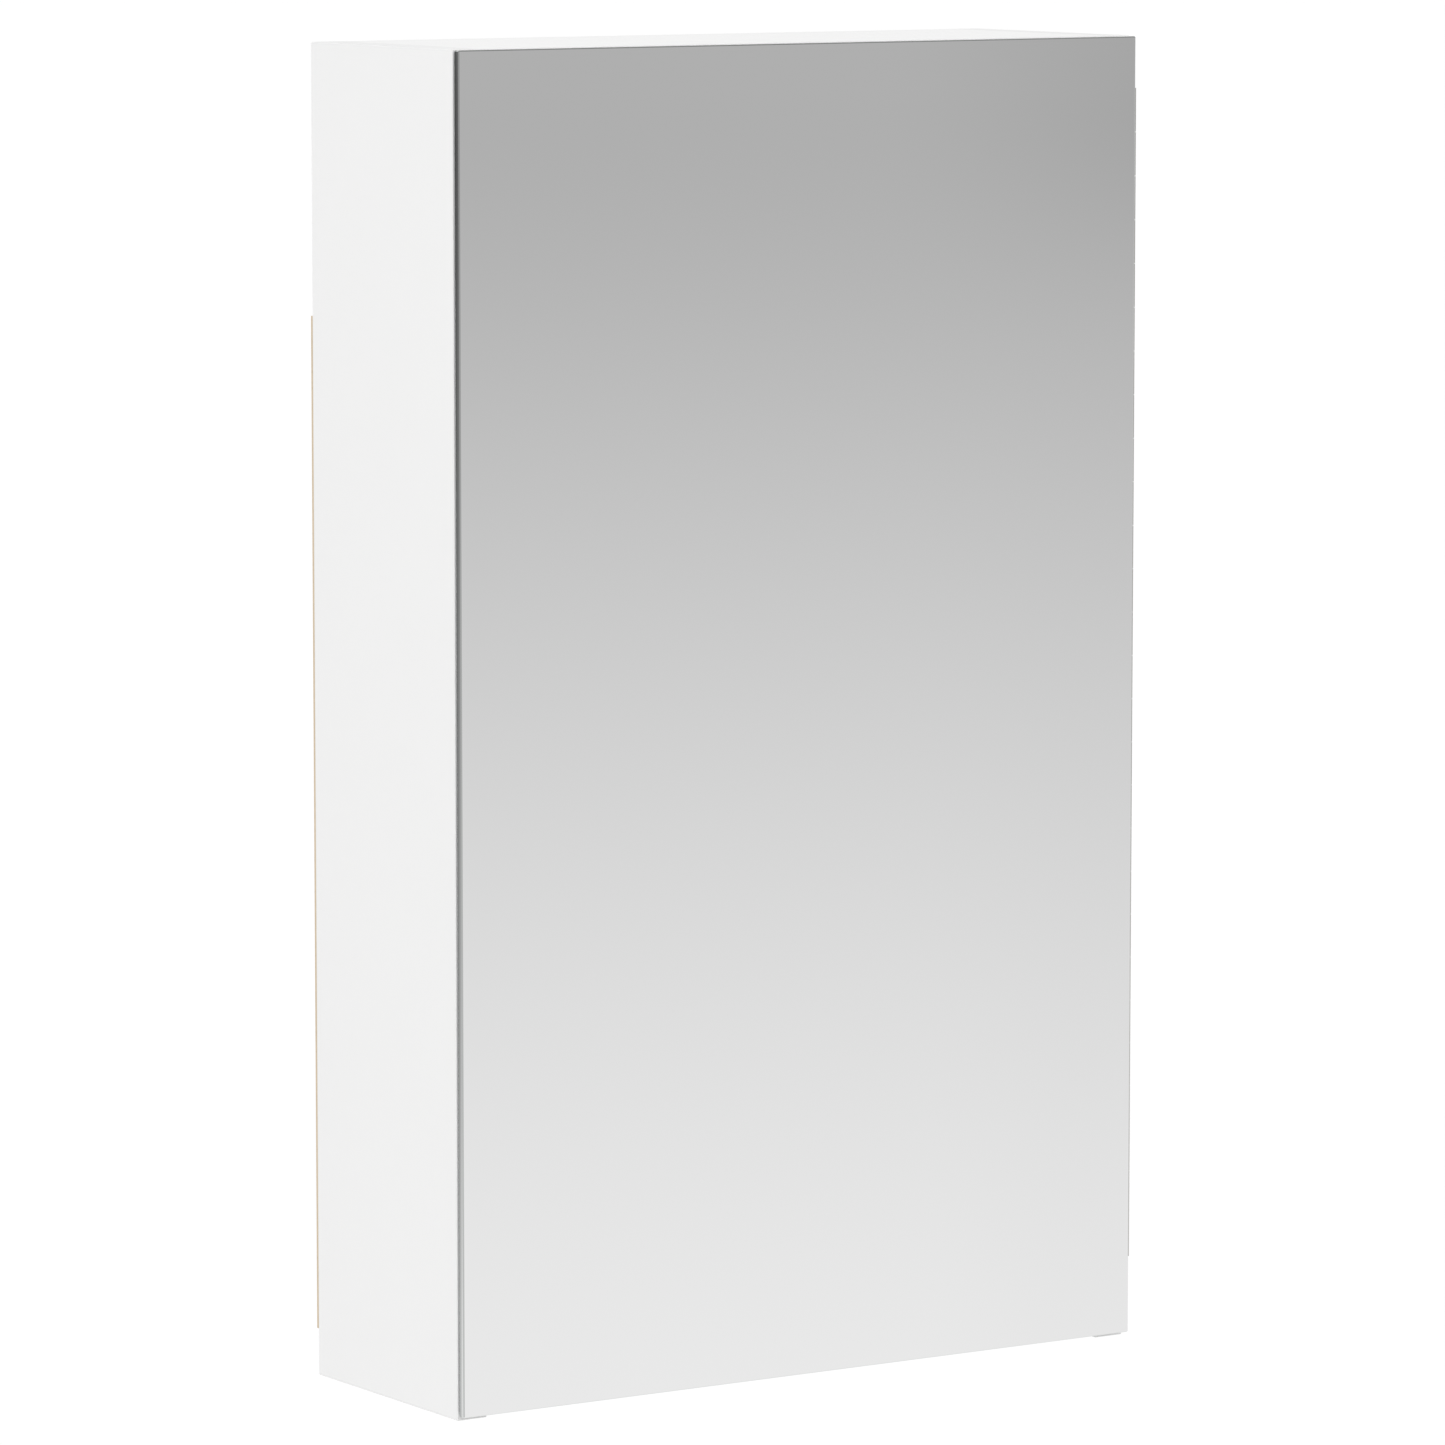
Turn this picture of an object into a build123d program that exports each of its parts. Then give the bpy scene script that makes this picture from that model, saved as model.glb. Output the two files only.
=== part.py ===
from build123d import *
import os

# Bathroom mirror cabinet: a wall-hung case behind one mirror door that covers its whole front.
# Millimetres. +X is to the right of a person facing the mirror, +Y points to the wall, +Z up.
# The origin is midway between the two wall-screw holes, on the rear plane of the side panels.

# Case
cabinet_width = 360.0
cabinet_height = 602.0
side_depth = 122.0
board = 15.0
board_round = 0.5
bottom_rise = 13.0

# Wall fixing
wall_hole_drop = 60.0
wall_hole_spacing = 220.0
wall_hole_diameter = 6.0

# Back panel
back_thickness = 2.5
back_side_inset = 0.8
back_drop = 122.0
back_rail_lap = 12.0
back_bottom_lap = 7.0

# Nails of the back panel
nail_diameter = 1.5
nail_length = 16.0
nail_head_diameter = 3.2
nail_head_height = 0.6
nail_play = 0.1
nail_end_margin = 16.0
nails_per_side = 6
nails_per_rail = 3

# Cam fittings and dowels
cam_diameter = 15.0
cam_end_wall = 1.4
cam_setback = 24.0
cam_edge_distance = 25.0
cam_play = 0.1
cam_slot_width = 1.6
cam_slot_depth = 2.0
bolt_diameter = 6.0
bolt_neck_diameter = 4.0
bolt_neck_length = 4.0
bolt_head_length = 3.0
bolt_thread_diameter = 5.0
bolt_thread_length = 10.0
dowel_diameter = 8.0
dowel_length = 30.0
dowel_in_side = 10.0
dowel_chamfer = 1.0
dowel_rail_spacing = 70.0
fitting_play = 0.1
fitting_end_play = 0.5

# Shelves and their pins
shelf_count = 2
shelf_thickness = 5.0
shelf_side_gap = 1.2
shelf_back_gap = 1.5
shelf_front_gap = 12.0
shelf_bevel = 0.4
pin_hole_pitch = 32.0
pin_holes_each_way = 2
pin_rear_row = 24.0
pin_front_row = 20.0
pin_shank_diameter = 5.0
pin_shank_length = 8.0
pin_collar_diameter = 8.0
pin_collar_thickness = 0.9
pin_peg_diameter = 6.0
pin_peg_length = 8.0
pin_seat_height = 2.0

# Mirror door
glass_thickness = 4.0
glass_bevel = 0.5
glass_top_gap = 0.4
glass_bottom_gap = 2.0
tape_thickness = 1.0
tape_width = 20.0
tape_count = 4
tape_end_margin = 30.0
carrier_thickness = 12.0
carrier_gap = 3.0

# Continuous hinge on the right-hand side
leaf_thickness = 0.6
leaf_play = 0.1
frame_leaf_width = 14.0
flange_edge_margin = 1.0
hinge_end_gap = 6.0
knuckle_count = 27
knuckle_diameter = 3.0
knuckle_clearance = 0.3
knuckle_end_play = 0.3
hinge_pin_diameter = 1.6
hinge_pin_play = 0.05
hinge_screw_count = 7
hinge_screw_margin = 18.0

# Wood screws of the hinge and the catch
screw_diameter = 3.0
screw_play = 0.1
sunk_head_diameter = 5.4
sunk_head_height = 1.3
pan_head_diameter = 5.2
pan_head_height = 1.2
pan_head_chamfer = 0.3
frame_screw_length = 16.0
flange_screw_length = 14.0
strike_screw_length = 10.0
catch_screw_length = 12.0
drive_width = 0.7
drive_span = 2.8
drive_depth = 0.7

# Magnetic catch under the top panel, and the plate it holds
catch_cam_clearance = 10.0
catch_length = 30.0
catch_ear_length = 9.0
catch_ear_height = 4.0
catch_ear_depth = 10.0
catch_depth = 14.0
catch_height = 16.0
catch_corner = 1.0
catch_ear_corner = 3.0
catch_axis_drop = 10.0
catch_play = 0.3
catch_fit = 0.1
pole_thickness = 1.2
pole_length = 26.0
pole_reach = 1.0
pole_depth = 11.0
magnet_height = 5.0
magnet_length = 24.0
magnet_depth = 9.0
strike_length = 32.0
strike_height = 12.0
strike_thickness = 1.2
strike_corner = 2.0

# Door bumpers
bumper_diameter = 8.0
bumper_play = 0.2
bumper_from_side = 20.0

# Planes and levels that the pieces share
top = wall_hole_drop
foot = top - cabinet_height
outer = cabinet_width / 2
inner = outer - board
front = -side_depth
ceiling = top - board
bottom_underside = foot + bottom_rise
floor_level = bottom_underside + board
rail_foot = top - back_drop - back_rail_lap
rail_middle = (rail_foot + ceiling) / 2
back_head = top - back_drop
back_foot = floor_level - back_bottom_lap

cam_height = board / 2 + bolt_diameter / 2 + fitting_play + cam_end_wall

overlay_gap = 2 * leaf_thickness + leaf_play
glass_rear = front - overlay_gap
glass_front = glass_rear - glass_thickness
carrier_front = glass_rear + tape_thickness
carrier_rear = carrier_front + carrier_thickness
carrier_edge = inner - carrier_gap
carrier_head = ceiling - carrier_gap
carrier_foot = floor_level + carrier_gap

hinge_head = carrier_head - hinge_end_gap
hinge_foot = carrier_foot + hinge_end_gap
knuckle_reach = knuckle_diameter / 2 + knuckle_clearance
hinge_y = front - overlay_gap / 2
hinge_x = outer + (knuckle_reach**2 - (overlay_gap / 2) ** 2) ** 0.5
leaf_edge = hinge_x - knuckle_reach

strike_face = carrier_rear + strike_thickness
pole_face = strike_face + catch_play
catch_face = pole_face + pole_reach
catch_reach = catch_length / 2 + catch_ear_length
catch_x = cam_setback + cam_diameter / 2 + catch_cam_clearance + catch_reach - inner
catch_z = ceiling - catch_axis_drop

UP = (0, 0, 1)
TO_WALL = (0, 1, 0)
TO_FRONT = (0, -1, 0)
SIDES = (-1, 1)


def block(x0, x1, y0, y1, z0, z1):
    """A box between two opposite corners."""
    middle = Pos((x0 + x1) / 2, (y0 + y1) / 2, (z0 + z1) / 2)
    return middle * Box(x1 - x0, y1 - y0, z1 - z0)


def rod(start, direction, diameter, length):
    """A cylinder that starts at a point and runs along a direction."""
    seat = (Align.CENTER, Align.CENTER, Align.MIN)
    return Plane(origin=start, z_dir=direction) * Cylinder(diameter / 2, length, align=seat)


def taper(start, direction, first_diameter, last_diameter, length):
    """A cone stump that starts at a point and runs along a direction."""
    seat = (Align.CENTER, Align.CENTER, Align.MIN)
    stump = Cone(first_diameter / 2, last_diameter / 2, length, align=seat)
    return Plane(origin=start, z_dir=direction) * stump


def moved(point, direction, distance):
    """The point that lies a distance from another along a unit direction."""
    return tuple(p + d * distance for p, d in zip(point, direction))


def rounded(solid, radius):
    """A board with all its edges slightly broken."""
    return fillet(solid.edges(), radius)


def spread(first, last, count):
    """Evenly spaced values from first to last."""
    return [first + (last - first) * i / (count - 1) for i in range(count)]


# Places of the fittings, shared by their holes and their solids


def cam_sites(panel):
    """Side, mouth centre and drilling direction of each cam pocket of a panel."""
    rows = (-cam_edge_distance, front + cam_edge_distance)
    sites = []
    for side in SIDES:
        x = side * (inner - cam_setback)
        if panel == "mounting_rail":
            sites.append((side, (x, 0, rail_middle), TO_FRONT))
        else:
            mouth = ceiling if panel == "top_panel" else bottom_underside
            sites.extend((side, (x, y, mouth), UP) for y in rows)
    return sites


def bolt_start(side, mouth, direction):
    """Where a cam bolt's axis crosses the side panel's inner face."""
    y, z = moved(mouth, direction, board / 2)[1:]
    return (side * inner, y, z)


def dowel_sites(panel):
    """Side and centre, at the side panel's inner face, of each dowel of a panel."""
    if panel == "mounting_rail":
        heights = (rail_middle - dowel_rail_spacing / 2, rail_middle + dowel_rail_spacing / 2)
        return [(side, (side * inner, -board / 2, z)) for side in SIDES for z in heights]
    z = (ceiling if panel == "top_panel" else bottom_underside) + board / 2
    return [(side, (side * inner, front / 2, z)) for side in SIDES]


def nail_points():
    """Where the nails enter the rear of the back panel: along both sides, the rail and the bottom."""
    points = []
    for z in spread(back_foot + nail_end_margin, back_head - nail_end_margin, nails_per_side):
        points.extend((side * (inner + board / 2), back_thickness, z) for side in SIDES)
    reach = inner - cam_setback - cam_diameter
    for x in spread(-reach, reach, nails_per_rail):
        points.append((x, back_thickness, back_head - back_rail_lap / 2))
        points.append((x, back_thickness, back_foot + back_bottom_lap / 2))
    return points


def pin_sites(every_hole):
    """Side and point of the shelf pin holes, or of the holes that carry pins."""
    steps = range(-pin_holes_each_way, pin_holes_each_way + 1) if every_hole else (0,)
    rows = (-pin_rear_row, shelf_front() + pin_front_row)
    sites = []
    for shelf in range(shelf_count):
        for step in steps:
            z = shelf_level(shelf) - pin_seat_height + step * pin_hole_pitch
            sites.extend((side, (side * inner, y, z)) for side in SIDES for y in rows)
    return sites


def shelf_level(shelf):
    """Height of a shelf's underside, with the shelves evenly spaced."""
    return floor_level + (ceiling - floor_level) * (shelf + 1) / (shelf_count + 1)


def shelf_front():
    """The shelves' front edge, clear of the closed door's carrier board."""
    return carrier_rear + shelf_front_gap


def hinge_screw_heights():
    """Heights of the hinge's screws, the same on both leaves."""
    return spread(hinge_foot + hinge_screw_margin, hinge_head - hinge_screw_margin, hinge_screw_count)


def bumper_points():
    """Centres of the bumpers, on the front edges of the top and bottom panels."""
    levels = (ceiling + board / 2, bottom_underside + board / 2)
    return [(side * (inner - bumper_from_side), front, z) for side in SIDES for z in levels]


# Screws and the holes that they need


def cross_drive(point, direction):
    """The cross recess of a screw head, cut from its outer face inwards."""
    plane = Plane(origin=moved(point, direction, drive_depth / 2), z_dir=direction)
    bars = Box(drive_span, drive_width, drive_depth) + Box(drive_width, drive_span, drive_depth)
    return plane * bars


def sunk_screw(point, direction, length):
    """A flat-headed screw whose head lies flush at the point."""
    body = taper(point, direction, sunk_head_diameter, screw_diameter, sunk_head_height)
    body += rod(point, direction, screw_diameter, length)
    return body - cross_drive(point, direction)


def sunk_screw_hole(point, direction, length):
    """The countersunk hole for a flat-headed screw."""
    wide = sunk_head_diameter + 2 * screw_play
    narrow = screw_diameter + screw_play
    hole = taper(point, direction, wide, narrow, sunk_head_height + screw_play)
    hole += rod(moved(point, direction, -screw_play), direction, narrow, length + 2 * screw_play)
    return hole


def pan_screw(point, direction, length):
    """A screw whose head stands on the surface at the point."""
    outer_face = moved(point, direction, -pan_head_height)
    head = rod(outer_face, direction, pan_head_diameter, pan_head_height)
    rim = head.edges().sort_by(lambda edge: (edge.center() - Vector(*outer_face)).length)[0]
    head = chamfer(rim, pan_head_chamfer)
    body = head + rod(point, direction, screw_diameter, length)
    return body - cross_drive(outer_face, direction)


def screw_bore(point, direction, length):
    """The straight hole for a screw's shank."""
    start = moved(point, direction, -screw_play)
    return rod(start, direction, screw_diameter + screw_play, length + 2 * screw_play)


# Case


def side_panel(side):
    """A side panel with the holes of all that is fixed in it."""
    panel = rounded(block(inner, outer, front, 0, foot, top), board_round)
    if side < 0:
        panel = panel.mirror(Plane.YZ)
    into_side = (side, 0, 0)
    cuts = []
    for name in ("top_panel", "bottom_panel", "mounting_rail"):
        for where, mouth, direction in cam_sites(name):
            if where == side:
                start = bolt_start(side, mouth, direction)
                depth = bolt_thread_length + fitting_end_play
                cuts.append(rod(start, into_side, bolt_thread_diameter + fitting_play, depth))
        for where, centre in dowel_sites(name):
            if where == side:
                depth = dowel_in_side + fitting_end_play
                cuts.append(rod(centre, into_side, dowel_diameter + fitting_play, depth))
    for where, point in pin_sites(every_hole=True):
        if where == side:
            depth = pin_shank_length + fitting_end_play
            cuts.append(rod(point, into_side, pin_shank_diameter + fitting_play, depth))
    cuts.extend(nail_hole(p) for p in nail_points() if p[0] * side > inner)
    if side > 0:
        face = front - leaf_thickness
        middle = (outer - frame_leaf_width + leaf_edge) / 2
        for z in hinge_screw_heights():
            cuts.append(sunk_screw_hole((middle, face, z), TO_WALL, frame_screw_length))
    return panel - cuts


def panel_fitting_cuts(name):
    """The cam pockets, bolt bores and dowel holes of a board between the sides."""
    cuts = []
    for side, mouth, direction in cam_sites(name):
        start = bolt_start(side, mouth, direction)
        outside = moved(start, (side, 0, 0), fitting_end_play)
        reach = cam_setback + fitting_end_play
        cuts.append(rod(mouth, direction, cam_diameter + 2 * cam_play, cam_height + cam_play))
        cuts.append(rod(outside, (-side, 0, 0), bolt_diameter + 2 * fitting_play, reach))
    for side, centre in dowel_sites(name):
        outside = moved(centre, (side, 0, 0), fitting_end_play)
        reach = dowel_length - dowel_in_side + 2 * fitting_end_play
        cuts.append(rod(outside, (-side, 0, 0), dowel_diameter + fitting_play, reach))
    return cuts


def top_panel():
    """The top board, flush with the side panels' upper ends."""
    panel = rounded(block(-inner, inner, front, 0, ceiling, top), board_round)
    cuts = panel_fitting_cuts("top_panel")
    for side in SIDES:
        cuts.append(screw_bore(catch_screw_point(side)[:2] + (ceiling,), UP, catch_screw_length))
    return panel - cuts


def bottom_panel():
    """The bottom board, raised to leave a finger recess behind the glass."""
    panel = rounded(block(-inner, inner, front, 0, bottom_underside, floor_level), board_round)
    cuts = panel_fitting_cuts("bottom_panel")
    cuts.extend(nail_hole(p) for p in nail_points() if p[2] < floor_level and abs(p[0]) < inner)
    return panel - cuts


def mounting_rail():
    """The rail under the top panel at the rear, with the two wall-screw holes."""
    rail = rounded(block(-inner, inner, -board, 0, rail_foot, ceiling), board_round)
    cuts = panel_fitting_cuts("mounting_rail")
    cuts.extend(nail_hole(p) for p in nail_points() if p[2] > rail_foot and abs(p[0]) < inner)
    for side in SIDES:
        start = (side * wall_hole_spacing / 2, board_round, 0)
        cuts.append(rod(start, TO_FRONT, wall_hole_diameter, board + 2 * board_round))
    return rail - cuts


def nail_hole(point):
    """The hole of one nail, with the pocket that sinks its head."""
    head = rod(point, TO_FRONT, nail_head_diameter + nail_play, nail_head_height)
    return head + rod(point, TO_FRONT, nail_diameter + nail_play, nail_length + nail_play)


def back_panel():
    """The thin fibreboard nailed on the rear edges."""
    edge = outer - back_side_inset
    panel = block(-edge, edge, 0, back_thickness, back_foot, back_head)
    return panel - [nail_hole(p) for p in nail_points()]


def back_panel_nails():
    """The nails of the back panel, with flush heads."""
    nails = []
    for point in nail_points():
        head = rod(point, TO_FRONT, nail_head_diameter, nail_head_height)
        nails.append(head + rod(point, TO_FRONT, nail_diameter, nail_length))
    return nails


# Fittings of the case


def all_cam_sites():
    """The cam sites of the three boards between the sides."""
    names = ("top_panel", "bottom_panel", "mounting_rail")
    return [site for name in names for site in cam_sites(name)]


def cam_housings():
    """The cams: drums with a bore for the bolt and a slot for the screwdriver."""
    cams = []
    for side, mouth, direction in all_cam_sites():
        cam = rod(mouth, direction, cam_diameter, cam_height)
        centre = moved(mouth, direction, board / 2)
        outside = moved(centre, (side, 0, 0), cam_diameter)
        bore_length = cam_diameter + bolt_neck_length + bolt_head_length
        cam -= rod(outside, (-side, 0, 0), bolt_diameter + 2 * fitting_play, bore_length)
        slot = Box(cam_diameter, cam_slot_width, 2 * cam_slot_depth)
        cross = slot + Box(cam_slot_width, cam_diameter, 2 * cam_slot_depth)
        cam -= Plane(origin=mouth, z_dir=direction) * cross
        cams.append(cam)
    return cams


def cam_bolts():
    """The bolts that the cams draw in: thread, shank, neck and head."""
    bolts = []
    for side, mouth, direction in all_cam_sites():
        start = bolt_start(side, mouth, direction)
        inward = (-side, 0, 0)
        shank_length = cam_setback - bolt_neck_length
        bolt = rod(moved(start, inward, -bolt_thread_length), inward, bolt_thread_diameter,
                   bolt_thread_length)
        bolt += rod(start, inward, bolt_diameter, shank_length)
        bolt += rod(moved(start, inward, shank_length), inward, bolt_neck_diameter, bolt_neck_length)
        bolt += rod(moved(start, inward, cam_setback), inward, bolt_diameter, bolt_head_length)
        bolts.append(bolt)
    return bolts


def wood_dowels():
    """The dowels that keep each board in line with the sides."""
    dowels = []
    for name in ("top_panel", "bottom_panel", "mounting_rail"):
        for side, centre in dowel_sites(name):
            start = moved(centre, (side, 0, 0), dowel_in_side)
            dowel = rod(start, (-side, 0, 0), dowel_diameter, dowel_length)
            dowels.append(chamfer(dowel.edges().filter_by(GeomType.CIRCLE), dowel_chamfer))
    return dowels


# Shelves


def shelf(number):
    """A glass shelf that lies on four pins."""
    level = shelf_level(number)
    half = inner - shelf_side_gap
    plate = block(-half, half, shelf_front(), -shelf_back_gap, level, level + shelf_thickness)
    return chamfer(plate.edges(), shelf_bevel)


def shelf_pins():
    """The pins: a shank in the side panel, a collar and a peg with a flat seat."""
    pins = []
    for side, point in pin_sites(every_hole=False):
        x, y, z = point
        inward = (-side, 0, 0)
        shank = rod(moved(point, inward, -pin_shank_length), inward, pin_shank_diameter,
                    pin_shank_length)
        collar = rod(point, inward, pin_collar_diameter, pin_collar_thickness)
        peg = rod(point, inward, pin_peg_diameter, pin_collar_thickness + pin_peg_length)
        seat = z + pin_seat_height
        above = block(x - pin_peg_length * 2, x + pin_peg_length * 2, y - pin_peg_diameter,
                      y + pin_peg_diameter, seat, seat + pin_peg_diameter)
        pins.append(shank + collar + (peg - above))
    return pins


# Mirror door


def mirror_glass():
    """The mirror, flush with both sides and nearly as high as the case."""
    plate = block(-outer, outer, glass_front, glass_rear, foot + glass_bottom_gap, top - glass_top_gap)
    return chamfer(plate.edges(), glass_bevel)


def carrier_board():
    """The board behind the mirror, which shuts between the sides, top and bottom."""
    plate = block(-carrier_edge, carrier_edge, carrier_front, carrier_rear, carrier_foot, carrier_head)
    plate = rounded(plate, board_round)
    cuts = []
    for z in hinge_screw_heights():
        cuts.append(screw_bore(flange_screw_point(z), (-1, 0, 0), flange_screw_length))
    cuts.append(sunk_screw_hole((catch_x, strike_face, catch_z), TO_FRONT, strike_screw_length))
    return plate - cuts


def mirror_tapes():
    """The strips of double-sided tape between the mirror and its carrier board."""
    reach = carrier_edge - tape_width
    strips = []
    for x in spread(-reach, reach, tape_count):
        strips.append(block(x - tape_width / 2, x + tape_width / 2, glass_rear, carrier_front,
                            carrier_foot + tape_end_margin, carrier_head - tape_end_margin))
    return strips


# Continuous hinge


def knuckle_spans(first):
    """The lower and upper ends of every second knuckle, from the first one given."""
    pitch = (hinge_head - hinge_foot) / knuckle_count
    spans = []
    for i in range(first, knuckle_count, 2):
        low = hinge_foot + i * pitch + (knuckle_end_play / 2 if i > 0 else 0)
        last = i == knuckle_count - 1
        high = hinge_foot + (i + 1) * pitch - (0 if last else knuckle_end_play / 2)
        spans.append((low, high))
    return spans


def with_knuckles(leaf, y0, y1, first):
    """A leaf joined to its knuckles, bored for the pin."""
    for low, high in knuckle_spans(first):
        leaf += block(leaf_edge, hinge_x, y0, y1, low, high)
        leaf += rod((hinge_x, hinge_y, low), UP, knuckle_diameter, high - low)
    bore = hinge_pin_diameter + 2 * hinge_pin_play
    return leaf - rod((hinge_x, hinge_y, hinge_foot), UP, bore, hinge_head - hinge_foot)


def hinge_frame_leaf():
    """The flat leaf on the front end of the right-hand side panel."""
    face = front - leaf_thickness
    leaf = block(outer - frame_leaf_width, leaf_edge, face, front, hinge_foot, hinge_head)
    middle = (outer - frame_leaf_width + leaf_edge) / 2
    for z in hinge_screw_heights():
        leaf -= sunk_screw_hole((middle, face, z), TO_WALL, frame_screw_length)
    return with_knuckles(leaf, face, front, 0)


def hinge_door_leaf():
    """The angled leaf: flat behind the glass, then back along the carrier board's edge."""
    back = glass_rear + leaf_thickness
    leaf = block(carrier_edge, leaf_edge, glass_rear, back, hinge_foot, hinge_head)
    flange_rear = carrier_rear - flange_edge_margin
    leaf += block(carrier_edge, carrier_edge + leaf_thickness, glass_rear, flange_rear,
                  hinge_foot, hinge_head)
    for z in hinge_screw_heights():
        leaf -= screw_bore(flange_screw_point(z), (-1, 0, 0), flange_screw_length)
    return with_knuckles(leaf, glass_rear, back, 1)


def hinge_pin():
    """The pin through all the knuckles."""
    return rod((hinge_x, hinge_y, hinge_foot), UP, hinge_pin_diameter, hinge_head - hinge_foot)


def flange_screw_point(z):
    """Where a flange screw's head meets the flange."""
    return (carrier_edge + leaf_thickness, (carrier_front + carrier_rear) / 2, z)


def hinge_frame_screws():
    """The flat-headed screws in the side panel's front end."""
    middle = (outer - frame_leaf_width + leaf_edge) / 2
    face = front - leaf_thickness
    return [sunk_screw((middle, face, z), TO_WALL, frame_screw_length) for z in hinge_screw_heights()]


def hinge_door_screws():
    """The screws through the flange into the carrier board's edge."""
    heights = hinge_screw_heights()
    return [pan_screw(flange_screw_point(z), (-1, 0, 0), flange_screw_length) for z in heights]


# Magnetic catch


def catch_screw_point(side):
    """Where a catch screw's head meets the underside of an ear."""
    x = catch_x + side * (catch_length + catch_ear_length) / 2
    return (x, catch_face + catch_depth / 2, ceiling - catch_ear_height)


def catch_case():
    """The plastic case with its two ears and the pocket for the magnet."""
    case = block(catch_x - catch_length / 2, catch_x + catch_length / 2, catch_face,
                 catch_face + catch_depth, ceiling - catch_height, ceiling)
    case = fillet(case.edges().filter_by(Axis.Z), catch_corner)
    middle = catch_face + catch_depth / 2
    ears = block(catch_x - catch_reach, catch_x + catch_reach, middle - catch_ear_depth / 2,
                 middle + catch_ear_depth / 2, ceiling - catch_ear_height, ceiling)
    case += fillet(ears.edges().filter_by(Axis.Z), catch_ear_corner)
    half_height = magnet_height / 2 + pole_thickness + catch_fit
    half_length = pole_length / 2 + catch_fit
    case -= block(catch_x - half_length, catch_x + half_length, catch_face - pole_reach,
                  catch_face + pole_depth + catch_fit, catch_z - half_height, catch_z + half_height)
    for side in SIDES:
        case -= screw_bore(catch_screw_point(side), UP, catch_screw_length)
    return case


def catch_magnet():
    """The magnet between the two pole plates."""
    rear = catch_face + pole_depth
    return block(catch_x - magnet_length / 2, catch_x + magnet_length / 2, rear - magnet_depth, rear,
                 catch_z - magnet_height / 2, catch_z + magnet_height / 2)


def catch_poles():
    """The two steel plates that reach out of the case to the strike plate."""
    plates = []
    for side in SIDES:
        z = catch_z + side * (magnet_height + pole_thickness) / 2
        plates.append(block(catch_x - pole_length / 2, catch_x + pole_length / 2, pole_face,
                            catch_face + pole_depth, z - pole_thickness / 2, z + pole_thickness / 2))
    return plates


def catch_screws():
    """The two screws that hold the case under the top panel."""
    length = catch_screw_length
    return [pan_screw(catch_screw_point(side), UP, length) for side in SIDES]


def strike_plate():
    """The steel plate on the carrier board that the catch holds."""
    plate = block(catch_x - strike_length / 2, catch_x + strike_length / 2, carrier_rear, strike_face,
                  catch_z - strike_height / 2, catch_z + strike_height / 2)
    plate = fillet(plate.edges().filter_by(Axis.Y), strike_corner)
    return plate - sunk_screw_hole((catch_x, strike_face, catch_z), TO_FRONT, strike_screw_length)


def strike_screw():
    """The screw that holds the strike plate."""
    return sunk_screw((catch_x, strike_face, catch_z), TO_FRONT, strike_screw_length)


def door_bumpers():
    """The soft dots on the front edges, which the glass closes against."""
    thickness = overlay_gap - bumper_play
    return [rod(point, TO_FRONT, bumper_diameter, thickness) for point in bumper_points()]


def pieces():
    """Every node of the cabinet by name; a list is a group of like, separate pieces."""
    nodes = {
        "left_side": side_panel(-1),
        "right_side": side_panel(1),
        "top_panel": top_panel(),
        "bottom_panel": bottom_panel(),
        "mounting_rail": mounting_rail(),
        "back_panel": back_panel(),
        "back_panel_nails": back_panel_nails(),
        "cam_housings": cam_housings(),
        "cam_bolts": cam_bolts(),
        "wood_dowels": wood_dowels(),
        "shelf_pins": shelf_pins(),
        "hinge_frame_leaf": hinge_frame_leaf(),
        "hinge_pin": hinge_pin(),
        "hinge_frame_screws": hinge_frame_screws(),
        "catch_case": catch_case(),
        "catch_magnet": catch_magnet(),
        "catch_poles": catch_poles(),
        "catch_screws": catch_screws(),
        "door_bumpers": door_bumpers(),
        "mirror_glass": mirror_glass(),
        "carrier_board": carrier_board(),
        "mirror_tapes": mirror_tapes(),
        "hinge_door_leaf": hinge_door_leaf(),
        "hinge_door_screws": hinge_door_screws(),
        "strike_plate": strike_plate(),
        "strike_screw": strike_screw(),
    }
    for number in range(shelf_count):
        nodes[f"glass_shelf_{number + 1}"] = shelf(number)
    return nodes


def main():
    """Write one STEP file per node."""
    os.makedirs("parts", exist_ok=True)
    for name, piece in pieces().items():
        shape = Compound(children=piece) if isinstance(piece, list) else piece
        export_step(shape, f"parts/{name}.step")


main()
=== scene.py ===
"""Finishes and studio for a bathroom mirror cabinet.

The cabinet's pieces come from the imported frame, in metres: X to the right of a person who
faces the mirror, Y to the wall, Z up. This file gives each piece its procedural finish and
sets a plain pale studio round the cabinet. Each group of pieces is one operator, and its
sizes and colours are properties of the scene.
"""

import math

import bmesh
import bpy
from bpy.props import FloatProperty, FloatVectorProperty, PointerProperty
from bpy.types import Operator, Panel, PropertyGroup
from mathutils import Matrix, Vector


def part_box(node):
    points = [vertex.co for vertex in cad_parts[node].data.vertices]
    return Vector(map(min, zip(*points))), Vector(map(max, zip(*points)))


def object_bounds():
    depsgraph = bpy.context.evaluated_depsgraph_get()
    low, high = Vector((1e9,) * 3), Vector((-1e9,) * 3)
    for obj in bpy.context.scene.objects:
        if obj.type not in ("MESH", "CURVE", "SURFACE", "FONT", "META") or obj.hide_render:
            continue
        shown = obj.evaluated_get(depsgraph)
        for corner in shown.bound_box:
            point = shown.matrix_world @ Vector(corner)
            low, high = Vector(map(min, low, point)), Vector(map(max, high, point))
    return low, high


bl_info = {
    "name": "Mirror cabinet",
    "version": (1, 0, 0),
    "blender": (4, 5, 0),
    "location": "3D View > Sidebar > Mirror cabinet",
    "description": "Finishes of a wall-hung mirror cabinet and a pale studio to show it in",
    "category": "Object",
}

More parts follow.
